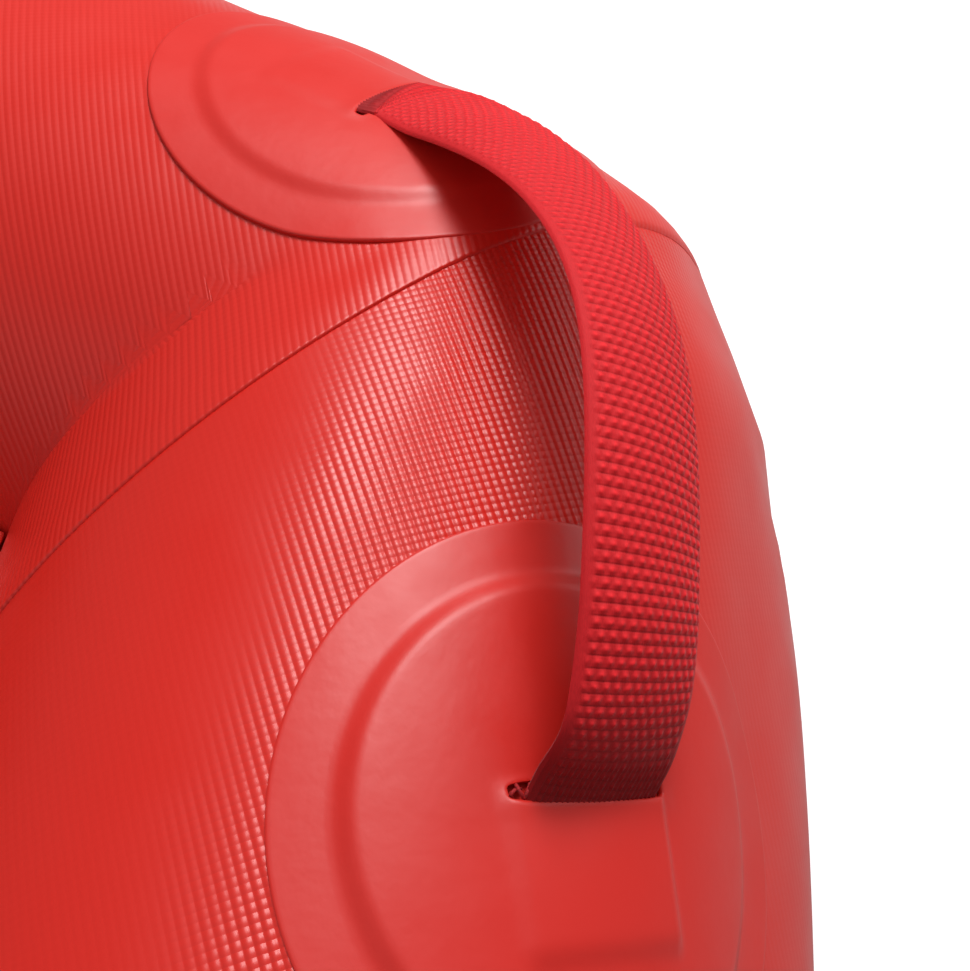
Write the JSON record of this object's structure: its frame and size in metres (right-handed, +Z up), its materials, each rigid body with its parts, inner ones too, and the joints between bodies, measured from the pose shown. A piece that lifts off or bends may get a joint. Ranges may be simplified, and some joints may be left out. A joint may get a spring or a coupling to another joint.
{
  "type": "dive float board",
  "caption": "Inflatable float board: a ring of round air tubes around a recessed air deck, with webbing carry handles over the corners, valves and towing rings.",
  "frame": {"origin": "centre of the footprint, on the ground under the tubes", "axes": "+X to the bow along the length, +Y to port, +Z up"},
  "size_m": [1.0088, 0.6, 0.1722],
  "materials": {
    "hull_fabric": "red coated woven fabric, welded seams, semi-gloss",
    "deck_fabric": "red coated woven fabric",
    "patch_fabric": "smooth red coated fabric, semi-gloss",
    "webbing": "woven red webbing",
    "inner_fabric": "pale coated fabric",
    "valve_plastic": "moulded black plastic",
    "poppet_plastic": "moulded grey plastic",
    "spring_steel": "drawn stainless wire",
    "ring_steel": "polished stainless rod, welded"
  },
  "bodies": {
    "hull": {"side_tube_starboard": "hull_fabric", "bow_tube": "hull_fabric", "side_tube_port": "hull_fabric", "stern_tube": "hull_fabric", "seam_band_bow_starboard": "inner_fabric", "seam_band_bow_port": "inner_fabric", "seam_band_stern_starboard": "inner_fabric", "seam_band_stern_port": "inner_fabric", "deck_sheet": "deck_fabric", "bottom_sheet": "deck_fabric", "deck_web_starboard": "inner_fabric", "deck_web_port": "inner_fabric", "bow_starboard_side_backing": "patch_fabric", "bow_starboard_side_tab": "webbing", "bow_starboard_side_cover": "patch_fabric", "bow_starboard_end_backing": "patch_fabric", "bow_starboard_end_tab": "webbing", "bow_starboard_end_cover": "patch_fabric", "bow_port_side_backing": "patch_fabric", "bow_port_side_tab": "webbing", "bow_port_side_cover": "patch_fabric", "bow_port_end_backing": "patch_fabric", "bow_port_end_tab": "webbing", "bow_port_end_cover": "patch_fabric", "stern_starboard_side_backing": "patch_fabric", "stern_starboard_side_tab": "webbing", "stern_starboard_side_cover": "patch_fabric", "stern_starboard_end_backing": "patch_fabric", "stern_starboard_end_tab": "webbing", "stern_starboard_end_cover": "patch_fabric", "stern_port_side_backing": "patch_fabric", "stern_port_side_tab": "webbing", "stern_port_side_cover": "patch_fabric", "stern_port_end_backing": "patch_fabric", "stern_port_end_tab": "webbing", "stern_port_end_cover": "patch_fabric", "tube_valve_flange": "patch_fabric", "tube_valve_body": "valve_plastic", "tube_valve_spring": "spring_steel", "deck_valve_flange": "patch_fabric", "deck_valve_body": "valve_plastic", "deck_valve_spring": "spring_steel", "bow_ring_patch": "patch_fabric", "bow_ring_loop": "webbing", "stern_ring_patch": "patch_fabric", "stern_ring_loop": "webbing"},
    "bow_starboard_grip_body": {"bow_starboard_grip": "webbing"},
    "bow_port_grip_body": {"bow_port_grip": "webbing"},
    "stern_starboard_grip_body": {"stern_starboard_grip": "webbing"},
    "stern_port_grip_body": {"stern_port_grip": "webbing"},
    "bow_ring_body": {"bow_ring": "ring_steel"},
    "stern_ring_body": {"stern_ring": "ring_steel"},
    "tube_valve_cap_body": {"tube_valve_cap": "valve_plastic"},
    "deck_valve_cap_body": {"deck_valve_cap": "valve_plastic"},
    "tube_valve_poppet_body": {"tube_valve_poppet": "poppet_plastic"},
    "deck_valve_poppet_body": {"deck_valve_poppet": "poppet_plastic"}
  },
  "joints": [
    {"name": "bow_starboard_grip_swing", "type": "hinge", "parent": "hull", "child": "bow_starboard_grip_body", "pos_m": [0.32542, -0.2389, 0.14407], "axis": [0.9159, 0.3968, 0.0607], "range_deg": [-40, 10], "stiffness_Nm_per_rad": 0.15},
    {"name": "bow_port_grip_swing", "type": "hinge", "parent": "hull", "child": "bow_port_grip_body", "pos_m": [0.32542, 0.2389, 0.14407], "axis": [-0.9159, 0.3968, -0.0607], "range_deg": [-40, 10], "stiffness_Nm_per_rad": 0.15},
    {"name": "stern_starboard_grip_swing", "type": "hinge", "parent": "hull", "child": "stern_starboard_grip_body", "pos_m": [-0.3846, -0.23134, 0.14407], "axis": [0.8757, -0.4795, -0.0574], "range_deg": [-45, 5], "stiffness_Nm_per_rad": 0.15},
    {"name": "stern_port_grip_swing", "type": "hinge", "parent": "hull", "child": "stern_port_grip_body", "pos_m": [-0.3846, 0.23134, 0.14407], "axis": [-0.8757, -0.4795, 0.0574], "range_deg": [-45, 5], "stiffness_Nm_per_rad": 0.15},
    {"name": "bow_ring_turn", "type": "hinge", "parent": "hull", "child": "bow_ring_body", "pos_m": [0.48959, 0, 0.12405], "axis": [0, 1, 0], "range_deg": [-110, 10]},
    {"name": "stern_ring_turn", "type": "hinge", "parent": "hull", "child": "stern_ring_body", "pos_m": [-0.48959, 0, 0.12405], "axis": [0, 1, 0], "range_deg": [-10, 110]},
    {"name": "tube_valve_cap_lift", "type": "slide", "parent": "hull", "child": "tube_valve_cap_body", "axis": [0, 0, 1], "range_m": [0, 0.012]},
    {"name": "deck_valve_cap_lift", "type": "slide", "parent": "hull", "child": "deck_valve_cap_body", "axis": [0, 0, 1], "range_m": [0, 0.012]},
    {"name": "tube_valve_poppet_press", "type": "slide", "parent": "hull", "child": "tube_valve_poppet_body", "axis": [0, 0, 1], "range_m": [-0.003, 0], "stiffness_N_per_m": 300, "springref_m": 0.002, "deforming": ["tube_valve_spring"]},
    {"name": "deck_valve_poppet_press", "type": "slide", "parent": "hull", "child": "deck_valve_poppet_body", "axis": [0, 0, 1], "range_m": [-0.003, 0], "stiffness_N_per_m": 300, "springref_m": 0.002, "deforming": ["deck_valve_spring"]}
  ]
}
